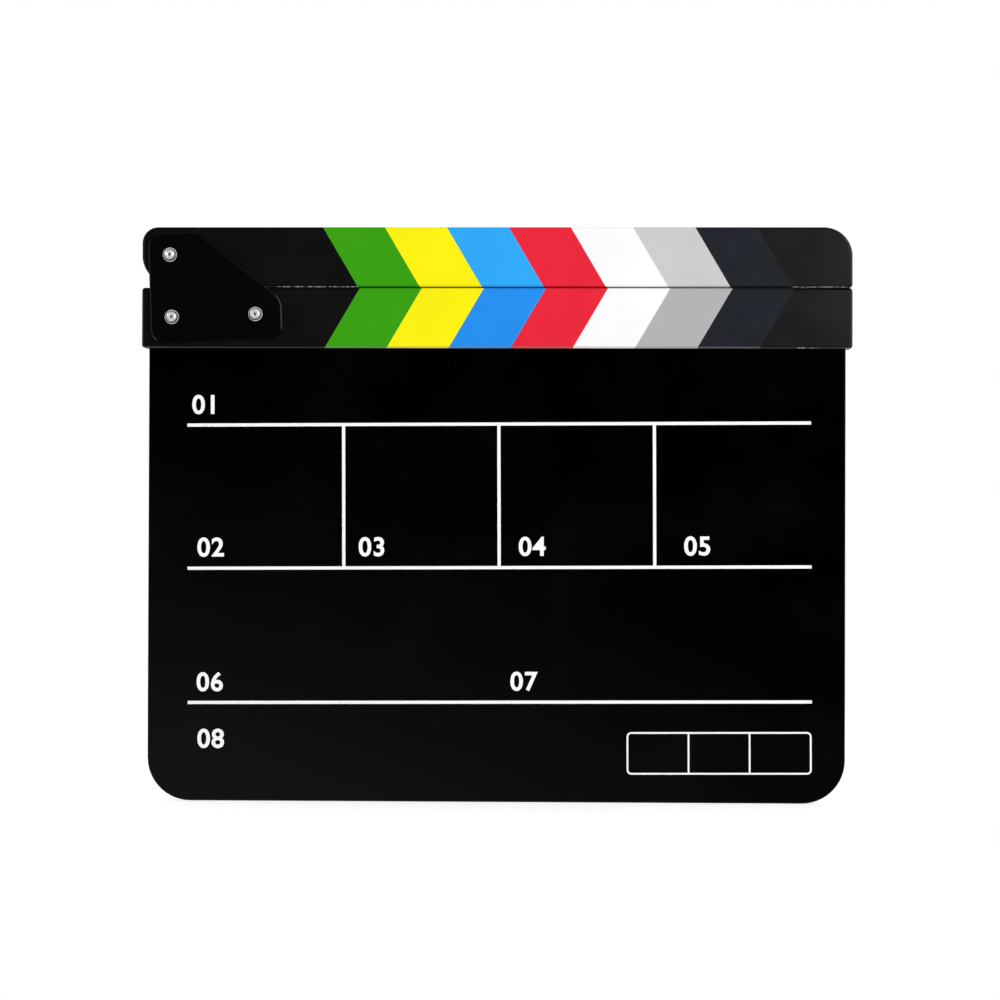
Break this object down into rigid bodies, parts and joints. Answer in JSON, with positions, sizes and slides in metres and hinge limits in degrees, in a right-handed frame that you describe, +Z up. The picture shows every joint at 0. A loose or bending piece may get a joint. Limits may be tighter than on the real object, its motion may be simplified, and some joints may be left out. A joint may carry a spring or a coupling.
{
  "type": "clapperboard",
  "caption": "Film clapperboard: a black acrylic slate held in a fixed clap stick, with a hinged upper stick, slanted colour bars and screwed hinge plates at the left end.",
  "frame": {"origin": "middle of the board's bottom edge, half way through its thickness", "axes": "+X along the sticks from the hinge to the free end, +Y from the front to the back, +Z up"},
  "size_m": [0.3, 0.0258, 0.2427],
  "materials": {
    "black_acrylic": "polished black acrylic sheet",
    "stick_plastic": "satin black plastic bar",
    "nickel_steel": "bright nickel-plated steel",
    "zinc_steel": "zinc-plated steel",
    "sleeve_brass": "turned brass",
    "nylon": "natural nylon",
    "film_green": "green vinyl film",
    "film_yellow": "yellow vinyl film",
    "film_blue_upper": "sky blue vinyl film",
    "film_blue_lower": "blue vinyl film",
    "film_red": "red vinyl film",
    "film_white": "white vinyl film",
    "film_grey_upper": "light grey vinyl film",
    "film_grey_lower": "mid grey vinyl film",
    "film_black": "blue-black vinyl film"
  },
  "bodies": {
    "slate": {"slate_board": "black_acrylic", "hinge_plate_front": "black_acrylic", "hinge_plate_rear": "black_acrylic", "lower_stick": "stick_plastic", "pivot_screw": "nickel_steel", "fixing_screws": "nickel_steel", "head_washers": "nickel_steel", "nut_washers": "zinc_steel", "lock_nuts": "zinc_steel", "lock_nut_inserts": "nylon", "pivot_sleeve": "sleeve_brass", "thrust_washer_front": "nylon", "thrust_washer_rear": "nylon", "lower_magnet": "nickel_steel", "lower_bar_green": "film_green", "lower_bar_yellow": "film_yellow", "lower_bar_blue": "film_blue_lower", "lower_bar_red": "film_red", "lower_bar_white": "film_white", "lower_bar_grey": "film_grey_lower", "lower_bar_black": "film_black"},
    "clap_stick": {"upper_stick": "stick_plastic", "upper_magnet": "nickel_steel", "upper_bar_green": "film_green", "upper_bar_yellow": "film_yellow", "upper_bar_blue": "film_blue_upper", "upper_bar_red": "film_red", "upper_bar_white": "film_white", "upper_bar_grey": "film_grey_upper", "upper_bar_black": "film_black"}
  },
  "joints": [
    {"name": "clap_hinge", "type": "hinge", "parent": "slate", "child": "clap_stick", "pos_m": [-0.1378, 0, 0.2307], "axis": [0, -1, 0], "range_deg": [0, 105]}
  ]
}
